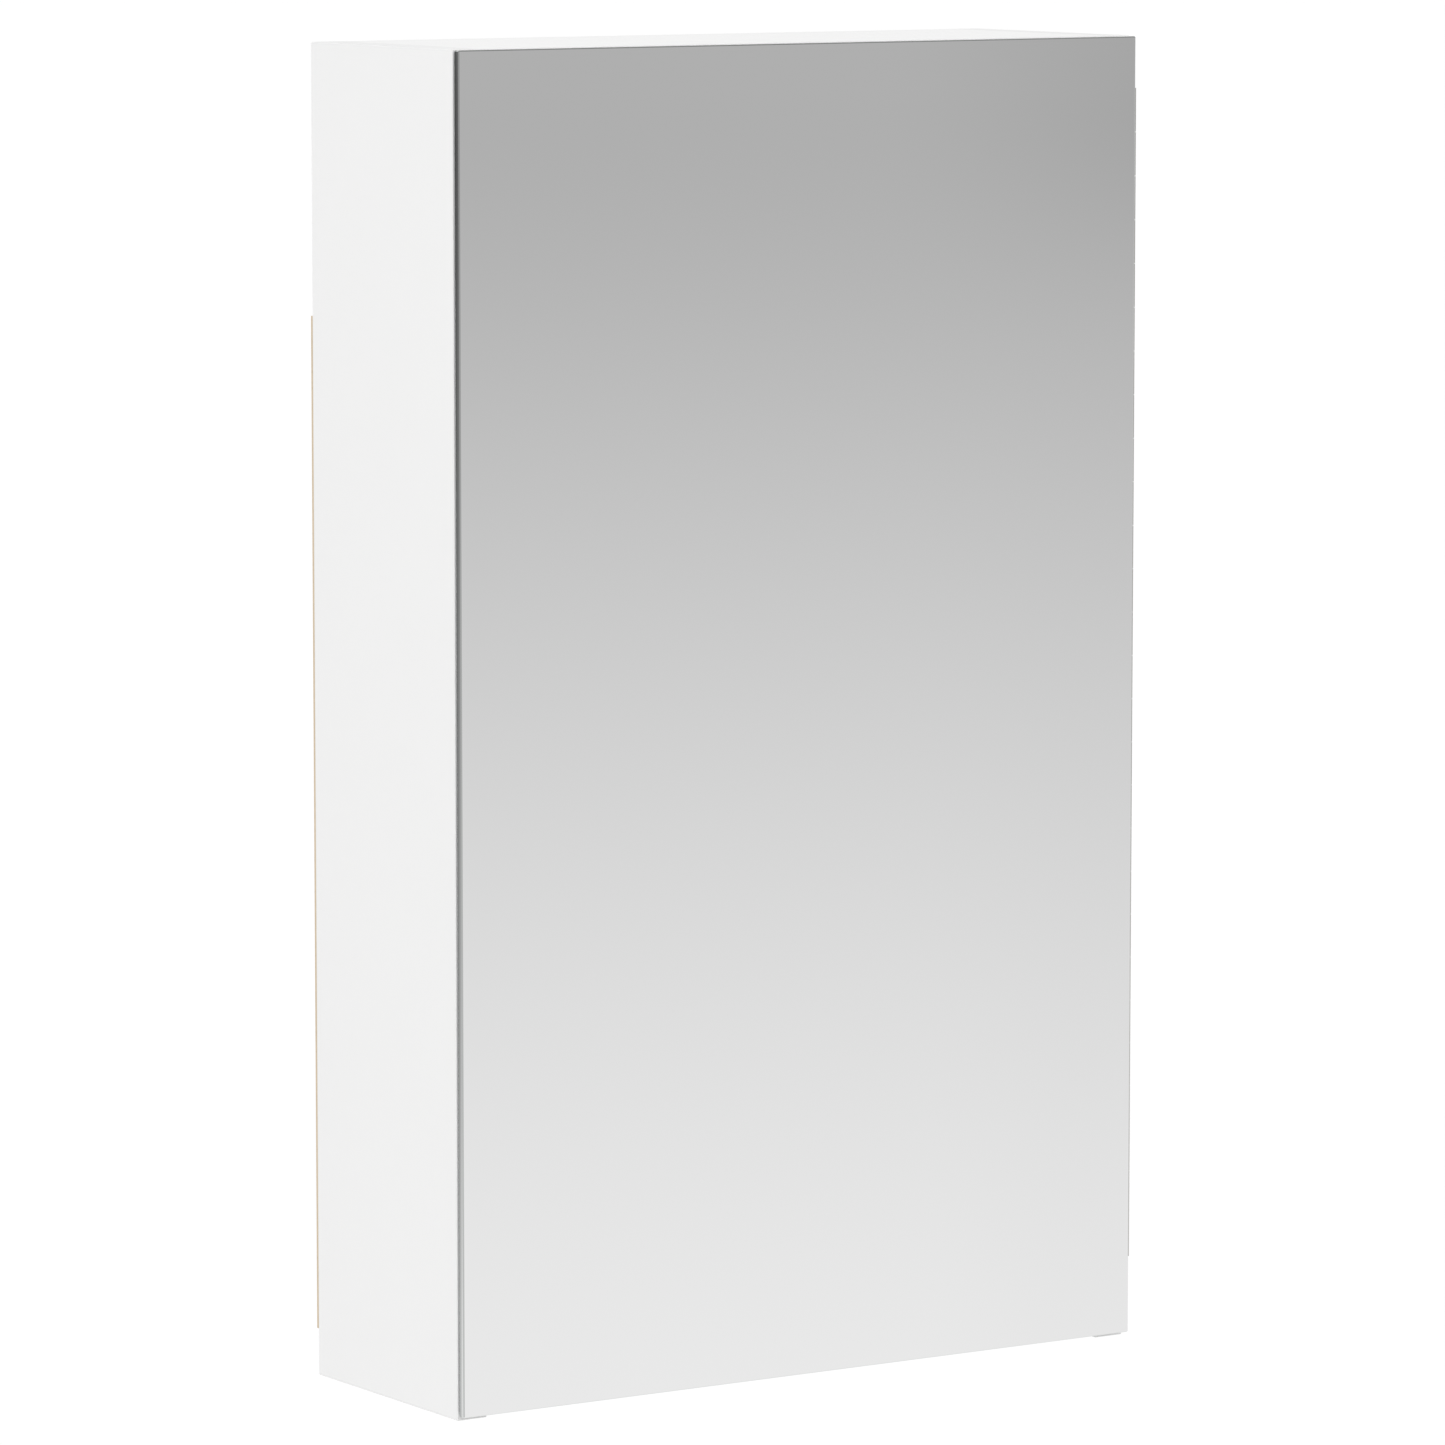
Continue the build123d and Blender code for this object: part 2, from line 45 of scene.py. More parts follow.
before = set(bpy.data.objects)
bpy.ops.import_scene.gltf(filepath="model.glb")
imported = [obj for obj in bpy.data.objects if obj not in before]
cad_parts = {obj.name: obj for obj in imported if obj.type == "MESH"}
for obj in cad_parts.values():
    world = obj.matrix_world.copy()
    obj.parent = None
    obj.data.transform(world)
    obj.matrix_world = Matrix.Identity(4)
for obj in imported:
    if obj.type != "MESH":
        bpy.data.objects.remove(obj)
CAD_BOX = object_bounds()
X_AXIS, Y_AXIS, Z_AXIS = 0, 1, 2


# Shader graphs

class Wire:
    """An output socket that Python expressions can be written on."""

    def __init__(self, graph, socket):
        self.graph = graph
        self.socket = socket

    def out(self, name):
        """Another output of the node that this one belongs to."""
        return Wire(self.graph, self.socket.node.outputs[name])

    def __add__(self, other):
        return self.graph.maths("ADD", self, other)

    def __radd__(self, other):
        return self.graph.maths("ADD", other, self)

    def __sub__(self, other):
        return self.graph.maths("SUBTRACT", self, other)

    def __rsub__(self, other):
        return self.graph.maths("SUBTRACT", other, self)

    def __mul__(self, other):
        return self.graph.maths("MULTIPLY", self, other)

    def __rmul__(self, other):
        return self.graph.maths("MULTIPLY", other, self)

    def __truediv__(self, other):
        return self.graph.maths("DIVIDE", self, other)

    def __abs__(self):
        return self.graph.maths("ABSOLUTE", self)


class Graph:
    """A node tree, with one method that makes any node in it."""

    COLUMN_WIDTH = 190
    ROW_HEIGHT = 260
    ROWS = 6

    def __init__(self, tree):
        self.tree = tree
        tree.nodes.clear()

    def node(self, kind, settings=None, sockets=None, output=0):
        """The output of a new node, whose settings are made before its sockets are filled."""
        column, row = divmod(len(self.tree.nodes), self.ROWS)
        made = self.tree.nodes.new(kind)
        made.location = (column * self.COLUMN_WIDTH, -row * self.ROW_HEIGHT)
        for name, value in (settings or {}).items():
            setattr(made, name, value)
        for name, value in (sockets or {}).items():
            if isinstance(value, Wire):
                self.tree.links.new(value.socket, made.inputs[name])
            else:
                made.inputs[name].default_value = value
        return Wire(self, made.outputs[output]) if made.outputs else None

    def maths(self, operation, *values):
        """A Math node, or a Vector Math node if any of the values is a colour or a vector."""
        wide = any(isinstance(v, Wire) and v.socket.type in ("VECTOR", "RGBA") for v in values)
        if not wide:
            sockets = dict(enumerate(values))
            return self.node("ShaderNodeMath", {"operation": operation}, sockets)
        spread = [v if isinstance(v, Wire) or hasattr(v, "__len__") else (v, v, v) for v in values]
        return self.node("ShaderNodeVectorMath", {"operation": operation}, dict(enumerate(spread)))

    def larger(self, one, other):
        return self.maths("MAXIMUM", one, other)

    def smaller(self, one, other):
        return self.maths("MINIMUM", one, other)

    def rise(self, value, low, high):
        """0 below low and 1 above high, with a smooth step between them."""
        settings = {"interpolation_type": "SMOOTHSTEP", "clamp": True}
        sockets = {"Value": value, "From Min": low, "From Max": high}
        return self.node("ShaderNodeMapRange", settings, sockets)

    def mix(self, share, colour, other):
        """The first colour where share is 0 and the other one where it is 1."""
        sockets = {0: share, 6: opaque(colour), 7: opaque(other)}
        return self.node("ShaderNodeMix", {"data_type": "RGBA"}, sockets, output=2)

    def position(self):
        """The point's place in the cabinet's frame, as a vector."""
        return self.node("ShaderNodeTexCoord", output="Object")

    def facing(self):
        """The x, y and z of the piece's own surface direction."""
        return self.parts(self.node("ShaderNodeTexCoord", output="Normal"))

    def parts(self, vector):
        split = self.node("ShaderNodeSeparateXYZ", sockets={"Vector": vector})
        return split.out("X"), split.out("Y"), split.out("Z")

    def stretch(self, vector, scale):
        """The vector with each of its axes multiplied by its own number."""
        return self.maths("MULTIPLY", vector, tuple(scale))

    def noise(self, vector, scale, detail=2.0, roughness=0.5, distortion=0.0):
        sockets = {"Vector": vector, "Scale": scale, "Detail": detail,
                   "Roughness": roughness, "Distortion": distortion}
        return self.node("ShaderNodeTexNoise", sockets=sockets, output="Fac")

    def cells(self, vector, scale, output="Distance"):
        sockets = {"Vector": vector, "Scale": scale}
        return self.node("ShaderNodeTexVoronoi", sockets=sockets, output=output)

    def bump(self, height, strength, depth):
        """A surface direction that follows a height, with its depth in metres."""
        sockets = {"Strength": strength, "Distance": depth, "Height": height}
        return self.node("ShaderNodeBump", sockets=sockets)

    def shader(self, **sockets):
        """A Principled shader, with its socket names written with underscores."""
        named = {name.replace("_", " "): opaque(value) for name, value in sockets.items()}
        return self.node("ShaderNodeBsdfPrincipled", sockets=named)


def opaque(colour):
    """A colour of three numbers with the alpha that a socket wants; anything else as it is."""
    if isinstance(colour, Wire) or not hasattr(colour, "__len__") or len(colour) != 3:
        return colour
    return (*colour, 1.0)


def shade(colour, share):
    """The colour made darker by a share below 1, or paler by one above it."""
    return [min(1.0, c * share) for c in colour]


def between(low, high, share):
    """low where the share is 0 and high where it is 1, for numbers and wires alike."""
    return low + (high - low) * share


def new_finish(name):
    """An empty material and its graph."""
    finish = bpy.data.materials.new(name)
    finish.use_nodes = True
    return finish, Graph(finish.node_tree)


def close(graph, shader):
    graph.node("ShaderNodeOutputMaterial", sockets={"Surface": shader})


def dress(finish, *nodes):
    """Puts a finish on CAD nodes, through their objects' material slots."""
    for name in nodes:
        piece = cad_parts.get(name)
        if piece is None:
            raise RuntimeError(f"the frame has no piece named {name}")
        if not piece.material_slots:
            raise RuntimeError(f"{name} has no material slot")
        for slot in piece.material_slots:
            slot.material = finish


# Sizes and colours

class BoardSettings(PropertyGroup):
    """White coated chipboard, and the thin fibreboard back."""

    white: FloatVectorProperty(
        name="White", description="Colour of the coated faces and the edge bands",
        default=(0.87, 0.87, 0.868), min=0, max=1, subtype="COLOR")
    gloss: FloatProperty(
        name="Roughness", description="How dull the coated faces are",
        default=0.5, min=0.05, max=1, subtype="FACTOR")
    band_thickness: FloatProperty(
        name="Edge band", description="Thickness of the plastic band on the boards' narrow faces",
        default=0.0008, min=0.0003, max=0.003, unit="LENGTH")
    pearl_size: FloatProperty(
        name="Pearl size", description="Width of the small waves in the coating",
        default=0.0012, min=0.0002, max=0.01, unit="LENGTH")
    chip_light: FloatVectorProperty(
        name="Light chips", description="Lightest wood chips in the uncovered rear edges",
        default=(0.66, 0.52, 0.36), min=0, max=1, subtype="COLOR")
    chip_dark: FloatVectorProperty(
        name="Dark chips", description="Darkest wood chips in the uncovered rear edges",
        default=(0.42, 0.3, 0.19), min=0, max=1, subtype="COLOR")
    fibre: FloatVectorProperty(
        name="Fibreboard", description="Colour of the raw back panel and of its edges",
        default=(0.6, 0.49, 0.36), min=0, max=1, subtype="COLOR")


class MirrorSettings(PropertyGroup):
    """Silvered glass with polished edges."""

    silver: FloatVectorProperty(
        name="Silver", description="Share of the light that the silvered face sends back",
        default=(0.93, 0.93, 0.93), min=0, max=1, subtype="COLOR")
    edge_front: FloatVectorProperty(
        name="Edge at the face", description="Colour of the polished edge beside the face",
        default=(0.9, 0.91, 0.905), min=0, max=1, subtype="COLOR")
    # Partly the backing paint seen through the glass and partly painted shade of the gap between the
    # mirror and the side boards.
    edge_rear_paint_and_shade: FloatVectorProperty(
        name="Edge at the back", description="Colour of the polished edge beside the paint",
        default=(0.32, 0.33, 0.325), min=0, max=1, subtype="COLOR")
    # A painted highlight: the edge that faces up is matt near-white, standing in for the glint of the
    # light from above.
    top_edge_painted_highlight: FloatVectorProperty(
        name="Top edge",
        description="Colour of the edge that faces up, which scatters the light from above",
        default=(0.95, 0.955, 0.95), min=0, max=1, subtype="COLOR")
    # A painted dark reflection: the top and side bevels take this darker silver, and the bevel below
    # keeps the pale edge colour.
    bevel: FloatVectorProperty(
        name="Bevel", description="Share of the light that the narrow bevel round the face sends back",
        default=(0.6, 0.61, 0.605), min=0, max=1, subtype="COLOR")
    backing: FloatVectorProperty(
        name="Backing paint", description="Colour of the protective paint behind the silver",
        default=(0.2, 0.215, 0.225), min=0, max=1, subtype="COLOR")


class GlassSettings(PropertyGroup):
    """Clear shelves."""

    face: FloatVectorProperty(
        name="Clear glass", description="Colour that the light takes through the shelf",
        default=(0.965, 0.985, 0.977), min=0, max=1, subtype="COLOR")
    edge: FloatVectorProperty(
        name="Glass edge", description="Colour of the ground edges, where the light runs far",
        default=(0.42, 0.68, 0.59), min=0, max=1, subtype="COLOR")


class MetalSettings(PropertyGroup):
    """Hinge, screws and joint fittings."""

    nickel: FloatVectorProperty(
        name="Nickel", description="Colour of the plated hinge, catch and screws",
        default=(0.56, 0.55, 0.53), min=0, max=1, subtype="COLOR")
    screw: FloatVectorProperty(
        name="Screws", description="Colour of the bright plated screws, pins and nails",
        default=(0.74, 0.745, 0.75), min=0, max=1, subtype="COLOR")
    zinc: FloatVectorProperty(
        name="Zinc", description="Colour of the cast and plated joint fittings",
        default=(0.6, 0.62, 0.645), min=0, max=1, subtype="COLOR")
    brush_length: FloatProperty(
        name="Brush length", description="Length of the fine lines left by rolling the strip",
        default=0.03, min=0.002, max=0.2, unit="LENGTH")


class SmallPartSettings(PropertyGroup):
    """Dowels, catch case, magnet, tape and bumpers."""

    beech: FloatVectorProperty(
        name="Beech", description="Colour of the dowels",
        default=(0.6, 0.43, 0.27), min=0, max=1, subtype="COLOR")
    plastic: FloatVectorProperty(
        name="White plastic", description="Colour of the catch case",
        default=(0.8, 0.8, 0.79), min=0, max=1, subtype="COLOR")
    ferrite: FloatVectorProperty(
        name="Ferrite", description="Colour of the magnet block",
        default=(0.045, 0.043, 0.042), min=0, max=1, subtype="COLOR")
    foam: FloatVectorProperty(
        name="Foam tape", description="Colour of the tape behind the glass",
        default=(0.72, 0.72, 0.7), min=0, max=1, subtype="COLOR")
    rubber: FloatVectorProperty(
        name="Clear rubber", description="Colour of the door bumpers",
        default=(0.86, 0.88, 0.89), min=0, max=1, subtype="COLOR")


class StudioSettings(PropertyGroup):
    """Floor, light and camera."""

    floor_drop: FloatProperty(
        name="Floor below the cabinet", description="From the cabinet's lower end to the floor",
        default=0.35, min=0, unit="LENGTH")
    floor_radius: FloatProperty(
        name="Floor radius", description="How far the floor reaches on each side",
        default=40.0, min=5, unit="LENGTH")
    floor_white: FloatProperty(
        name="Floor brightness", description="Share of its light that the floor sends back",
        default=0.75, min=0, max=1, subtype="FACTOR")
    room_level: FloatProperty(
        name="Room light", description="Even light that comes from every side",
        default=0.952, min=0, max=2)
    key_level: FloatProperty(
        name="Key lamp", description="Power of the large lamp above the left front",
        default=36.0, min=0, unit="POWER")
    fill_level: FloatProperty(
        name="Fill lamp", description="Power of the large lamp on the right",
        default=18.0, min=0, unit="POWER")
    top_level: FloatProperty(
        name="Top lamp", description="Power of the weak lamp straight above",
        default=2.5, min=0, unit="POWER")
    aim: FloatVectorProperty(
        name="Camera aim", description="Point that the camera looks at",
        default=(-0.0012, -0.0605, -0.25), subtype="XYZ", unit="LENGTH")
    side_angle: FloatProperty(
        name="Camera side angle",
        description="How far the camera stands to the left of straight ahead",
        default=math.radians(32.96), subtype="ANGLE")
    down_angle: FloatProperty(
        name="Camera down angle", description="How far the camera looks down",
        default=math.radians(6.775), subtype="ANGLE")
    distance: FloatProperty(
        name="Camera distance", description="From the aim to the camera",
        default=3.573, min=0.5, unit="LENGTH")
    lens: FloatProperty(
        name="Lens", description="Focal length on a 36 mm wide sensor, in millimetres",
        default=195.8, min=10)


# Boards

# For each board: the axis across its thickness, its banded edges as axis and side of its box
# (0 low, 1 high), and whether its rear edge is left uncovered.
BOARDS = {
    "left_side": (X_AXIS, ((Y_AXIS, 0), (Z_AXIS, 0), (Z_AXIS, 1)), True),
    "right_side": (X_AXIS, ((Y_AXIS, 0), (Z_AXIS, 0), (Z_AXIS, 1)), True),
    "top_panel": (Z_AXIS, ((Y_AXIS, 0),), True),
    "bottom_panel": (Z_AXIS, ((Y_AXIS, 0),), True),
    "mounting_rail": (Y_AXIS, ((Z_AXIS, 0),), False),
    "carrier_board": (Y_AXIS, ((X_AXIS, 0), (X_AXIS, 1), (Z_AXIS, 0), (Z_AXIS, 1)), False),
}
FLAT_FROM, FLAT_TO = 0.9, 0.97  # how nearly a surface faces an axis to count as that face
SEAM_HALF_WIDTH = 0.00012  # of the line between an edge band and the wide face, in metres
SEAM_COLOUR, SEAM_SHARE = (0.2, 0.2, 0.2), 0.12  # its grey, and how fully it shows
FOIL = 0.0004  # thickness of the coating on each wide face, in metres
BAND_SHADE = 0.06  # how much darker the edge bands are than the wide faces
CORE_BLUR = 0.0001  # width over which the foil's edge fades into the core, in metres
MOTTLE = 0.006  # how much paler and darker the coating gets in broad patches
PEARL_DULLING = 0.08  # how much the pearl texture changes the roughness
PEARL_HEIGHT = 0.15  # its height beside that of the seams and chips
CHIP_DULLING = 0.4  # how much rougher bare chipboard is than the coating
CRUMPLE = 0.0006  # how far the chips' outlines are pushed about, in metres
GAP_SHADE_SHARE = 0.7  # how fully the gaps between the chips take their painted shade


def coating(graph, place, settings):
    """The coated faces: colour, roughness and the height of the pearl texture."""
    mottle = graph.noise(place, scale=24.0, detail=3.0)
    colour = graph.mix(mottle, shade(settings.white, 1 - MOTTLE), shade(settings.white, 1 + MOTTLE))
    pearl = graph.noise(place, scale=1 / settings.pearl_size, roughness=0.6)
    half = PEARL_DULLING / 2
    roughness = between(settings.gloss - half, settings.gloss + half, pearl)
    return colour, roughness, pearl


def chipboard(graph, place, settings):
    """The core of a board where nothing covers it: pressed chips, with painted shade in the small gaps
    between them.
    """
    push = graph.node(
        "ShaderNodeTexNoise", sockets={"Vector": place, "Scale": 500.0}, output="Color")
    crumpled = graph.stretch(place + CRUMPLE * push, (1.0, 1.0, 0.55))
    tone = graph.parts(graph.cells(crumpled, scale=620.0, output="Color"))[0]
    colour = graph.mix(tone, settings.chip_dark, settings.chip_light)
    shaded_gaps = graph.rise(graph.noise(place, scale=900.0, detail=3.0), low=0.6, high=0.72)
    # Painted shade in the gaps between the chips, which the bump also sinks.
    colour = graph.mix(shaded_gaps * GAP_SHADE_SHARE, colour, shade(settings.chip_dark, 0.35))
    return colour, tone - shaded_gaps


def board_finish(name, settings):
    thickness_axis, banded, raw_rear = BOARDS[name]
    low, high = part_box(name)
    finish, graph = new_finish("white_melamine_" + name)
    place = graph.position()
    at = graph.parts(place)
    facing = graph.facing()
    colour, roughness, height = coating(graph, place, settings)

    seams = 0.0
    for axis, end in banded:
        edge = (low, high)[end][axis]
        off = abs(abs(at[axis] - edge) - settings.band_thickness)
        line = 1 - graph.rise(off, low=0.0, high=SEAM_HALF_WIDTH)
        seams = graph.larger(seams, line)
    wide_face = graph.rise(abs(facing[thickness_axis]), FLAT_FROM, FLAT_TO)
    colour = colour * (1 - BAND_SHADE * (1 - wide_face))
    seams = seams * wide_face
    colour = graph.mix(seams * SEAM_SHARE, colour, SEAM_COLOUR)
    height = height * PEARL_HEIGHT - seams

    if raw_rear:
        middle = (low[thickness_axis] + high[thickness_axis]) / 2
        half_core = (high[thickness_axis] - low[thickness_axis]) / 2 - FOIL
        off_middle = abs(at[thickness_axis] - middle)
        in_core = 1 - graph.rise(off_middle, half_core - CORE_BLUR, half_core)
        raw = in_core * graph.rise(facing[Y_AXIS], FLAT_FROM, FLAT_TO)
        chip_colour, chip_height = chipboard(graph, place, settings)
        colour = graph.mix(raw, colour, chip_colour)
        roughness = roughness + raw * CHIP_DULLING
        height = between(height, chip_height, raw)
    surface = graph.shader(
        Base_Color=colour, Roughness=roughness, Specular_IOR_Level=0.3,
        Normal=graph.bump(height, strength=0.35, depth=0.00006))
    close(graph, surface)
    dress(finish, name)


FIBRE_BASE, FIBRE_SHARE, CLOUD_SHARE = 0.3, 0.5, 0.2  # what the raw fibre's tone is made up of
DEEP_FIBRE = (0.86, 0.84, 0.8)  # shares of the fibre's red, green and blue in its dark patches
BARK_SHARE = 0.5  # how fully the flecks of bark take their dark colour


def back_panel_finish(settings):
    """White foil inside, raw pressed fibre on the edges and the rear."""
    finish, graph = new_finish("raw_fibreboard")
    place = graph.position()
    foil_colour, foil_roughness, pearl = coating(graph, place, settings)
    upright = graph.stretch(place, (1.0, 1.0, 0.35))
    fibres = graph.noise(upright, scale=900.0, detail=4.0, roughness=0.65, distortion=1.5)
    clouds = graph.noise(place, scale=35.0, detail=3.0)
    tone = FIBRE_BASE + FIBRE_SHARE * fibres + CLOUD_SHARE * clouds
    deep = [c * share for c, share in zip(settings.fibre, DEEP_FIBRE)]
    fibre_colour = graph.mix(graph.rise(tone, low=0.3, high=0.8), deep, shade(settings.fibre, 1.1))
    bark = graph.noise(graph.stretch(place, (1.0, 1.0, 0.3)), scale=1500.0, detail=1.0)
    flecks = graph.rise(bark, low=0.68, high=0.78)
    fibre_colour = graph.mix(flecks * BARK_SHARE, fibre_colour, shade(settings.fibre, 0.45))
    inside = graph.rise(0 - graph.facing()[Y_AXIS], FLAT_FROM, FLAT_TO)
    surface = graph.shader(
        Base_Color=graph.mix(inside, fibre_colour, foil_colour),
        Roughness=between(0.82, foil_roughness, inside),
        Specular_IOR_Level=0.25,
        Normal=graph.bump(fibres * (1 - inside) + pearl * PEARL_HEIGHT, strength=0.4, depth=0.00008))
    close(graph, surface)
    dress(finish, "back_panel")


# Mirror and shelves

BEVEL_FROM, BEVEL_TO = 0.4, 0.6  # how far the bevels lean to the front, for their painted dark reflection; the one below stays bright
SILVER_ROUGHNESS, EDGE_ROUGHNESS, PAINT_ROUGHNESS = 0.01, 0.1, 0.5
SHADOW_PASS = 0.85  # share of the light that a shelf lets through where it would cast a shadow


def mirror_finish(settings):
    """Silvered face; polished edge that darkens towards the paint, partly the paint seen through the
    glass and partly painted shade of the gap behind the mirror, with a painted highlight on the top
    edge and a painted dark reflection on the top and side bevels; rear with backing paint.
    """
    low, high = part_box("mirror_glass")
    finish, graph = new_finish("mirror")
    place = graph.position()
    facing_y, facing_z = graph.facing()[Y_AXIS:]
    face = graph.rise(0 - facing_y, FLAT_FROM, FLAT_TO)
    rear = graph.rise(facing_y, FLAT_FROM, FLAT_TO)
    # The edge that faces up, which takes the painted highlight and is not metal.
    top = graph.rise(facing_z, FLAT_FROM, FLAT_TO)
    leaning = graph.rise(0 - facing_y, BEVEL_FROM, BEVEL_TO)
    # Top and side bevels, which take the painted dark reflection; the one below is left out.
    bevel = leaning * graph.rise(facing_z, -BEVEL_TO, -BEVEL_FROM)
    depth = (graph.parts(place)[Y_AXIS] - low.y) / (high.y - low.y)
    # The edge darkens from the face to the rear: the backing paint showing through, and painted shade
    # of the gap behind the mirror.
    edge_and_painted_light = graph.mix(depth, settings.edge_front, settings.edge_rear_paint_and_shade)
    edge_and_painted_light = graph.mix(bevel, graph.mix(top, edge_and_painted_light, settings.top_edge_painted_highlight), settings.bevel)
    roller = graph.noise(graph.stretch(place, (1.0, 1.0, 0.06)), scale=260.0, detail=3.0)
    paint = graph.mix(roller, shade(settings.backing, 0.88), shade(settings.backing, 1.1))
    colour = graph.mix(face, graph.mix(rear, edge_and_painted_light, paint), settings.silver)
    surface = graph.shader(
        Base_Color=colour,
        Metallic=1 - graph.larger(rear, top),
        Roughness=between(between(EDGE_ROUGHNESS, PAINT_ROUGHNESS, rear), SILVER_ROUGHNESS, face),
        Normal=graph.bump(roller * rear, strength=0.3, depth=0.00005))
    close(graph, surface)
    dress(finish, "mirror_glass")


def shelf_finish(settings):
    """Clear glass whose ground edges look green, and which lets the lamps through."""
    finish, graph = new_finish("clear_glass")
    place = graph.position()
    flat = graph.rise(abs(graph.facing()[Z_AXIS]), FLAT_FROM, FLAT_TO)
    grinding = graph.noise(graph.stretch(place, (0.2, 0.2, 1.0)), scale=2600.0)
    glass = graph.shader(
        Base_Color=graph.mix(flat, settings.edge, settings.face),
        Roughness=between(between(0.12, 0.24, grinding), 0.0, flat),
        IOR=1.5,
        Transmission_Weight=1.0)
    passing = graph.node("ShaderNodeBsdfTransparent", sockets={"Color": opaque(settings.face)})
    in_shadow = graph.node("ShaderNodeLightPath", output="Is Shadow Ray")
    surface = graph.node(
        "ShaderNodeMixShader", sockets={0: in_shadow * SHADOW_PASS, 1: glass, 2: passing})
    close(graph, surface)
    dress(finish, "glass_shelf_1", "glass_shelf_2")


# Metal

STRIP_LINE = 0.0004  # width of a rolling line, in metres
MARK_DULLING, WEAR_DULLING = 0.03, 0.12  # how much handling marks and wear roughen the plating


def nickel_finish(settings):
    """Plated steel with the fine upright lines of rolled strip and a few soft handling marks."""
    finish, graph = new_finish("nickel_steel")
    place = graph.position()
    drawn_out = graph.stretch(place, (1.0, 1.0, STRIP_LINE / settings.brush_length))
    lines = graph.noise(drawn_out, scale=1 / STRIP_LINE, detail=3.0, roughness=0.6)
    marks = graph.rise(graph.noise(place, scale=60.0), low=0.4, high=0.8)
    colour = graph.mix(marks, settings.nickel, shade(settings.nickel, 0.97))
    surface = graph.shader(
        Base_Color=colour, Metallic=1.0,
        Roughness=between(0.2, 0.3, lines) + MARK_DULLING * marks,
        Normal=graph.bump(lines, strength=0.1, depth=0.00001))
    close(graph, surface)
    dress(finish, "hinge_frame_leaf", "hinge_door_leaf", "hinge_pin", "catch_poles", "strike_plate")


def screw_finish(settings):
    """Bright plated steel with the faint turning marks of small fasteners."""
    finish, graph = new_finish("bright_steel")
    place = graph.position()
    turning = graph.noise(place, scale=3600.0)
    wear = graph.rise(graph.noise(place, scale=500.0), low=0.45, high=0.75)
    colour = graph.mix(wear, settings.screw, shade(settings.screw, 0.82))
    surface = graph.shader(
        Base_Color=colour, Metallic=1.0,
        Roughness=between(0.16, 0.26, turning) + WEAR_DULLING * wear,
        Normal=graph.bump(turning, strength=0.15, depth=0.00002))
    close(graph, surface)
    dress(finish, "shelf_pins", "hinge_frame_screws", "hinge_door_screws", "catch_screws",
          "strike_screw", "back_panel_nails")


def zinc_finish(settings):
    """Cast zinc with a slightly cloudy skin."""
    finish, graph = new_finish("zinc")
    place = graph.position()
    clouds = graph.noise(place, scale=420.0, detail=3.0, roughness=0.6)
    grains = graph.cells(place, scale=1400.0)
    colour = graph.mix(clouds, shade(settings.zinc, 0.86), shade(settings.zinc, 1.08))
    surface = graph.shader(
        Base_Color=colour, Metallic=1.0,
        Roughness=between(0.34, 0.5, clouds),
        Normal=graph.bump(grains, strength=0.2, depth=0.00003))
    close(graph, surface)
    dress(finish, "cam_housings", "cam_bolts")


# Small parts

RAY_SHARE = 0.6  # how fully the short flecks in the beech take their dark colour


def beech_finish(settings):
    """Beech with grain along the dowel and its short dark flecks."""
    finish, graph = new_finish("beech")
    place = graph.position()
    grain = graph.noise(
        graph.stretch(place, (0.08, 1.0, 1.0)), scale=1100.0, detail=3.0, roughness=0.6)
    rays = graph.noise(graph.stretch(place, (0.22, 1.0, 1.0)), scale=2400.0, detail=1.0)
    flecks = graph.rise(rays, low=0.62, high=0.72)
    colour = graph.mix(grain, shade(settings.beech, 0.82), shade(settings.beech, 1.14))
    colour = graph.mix(flecks * RAY_SHARE, colour, shade(settings.beech, 0.5))
    surface = graph.shader(
        Base_Color=colour, Roughness=between(0.6, 0.7, grain),
        Normal=graph.bump(grain, strength=0.3, depth=0.00008))
    close(graph, surface)
    dress(finish, "wood_dowels")


def plastic_finish(settings):
    """Moulded plastic with a fine eroded texture."""
    finish, graph = new_finish("white_plastic")
    place = graph.position()
    texture = graph.noise(place, scale=2600.0)
    clouds = graph.noise(place, scale=120.0)
    colour = graph.mix(clouds, shade(settings.plastic, 0.98), settings.plastic)
    surface = graph.shader(
        Base_Color=colour, Roughness=between(0.36, 0.46, texture),
        Normal=graph.bump(texture, strength=0.25, depth=0.00004))
    close(graph, surface)
    dress(finish, "catch_case")


def magnet_finish(settings):
    """Sintered ferrite, dull and slightly grainy."""
    finish, graph = new_finish("magnet")
    place = graph.position()
    grains = graph.noise(place, scale=1800.0, detail=3.0, roughness=0.7)
    colour = graph.mix(grains, shade(settings.ferrite, 0.7), shade(settings.ferrite, 1.5))
    surface = graph.shader(
        Base_Color=colour, Roughness=between(0.5, 0.7, grains),
        Normal=graph.bump(grains, strength=0.4, depth=0.00005))
    close(graph, surface)
    dress(finish, "catch_magnet")


def foam_finish(settings):
    """Closed-cell foam, with its pores on the cut sides and painted shade in their hollows."""
    finish, graph = new_finish("foam_tape")
    place = graph.position()
    pores = graph.cells(place, scale=3200.0)
    outside_pore_shade = graph.rise(pores, low=0.0, high=0.5)
    # Painted shade: the middles of the pores take 0.7 of the foam's colour.
    colour = graph.mix(outside_pore_shade, shade(settings.foam, 0.7), settings.foam)
    surface = graph.shader(
        Base_Color=colour, Roughness=between(0.85, 0.95, pores),
        Normal=graph.bump(pores, strength=0.6, depth=0.0001))
    close(graph, surface)
    dress(finish, "mirror_tapes")


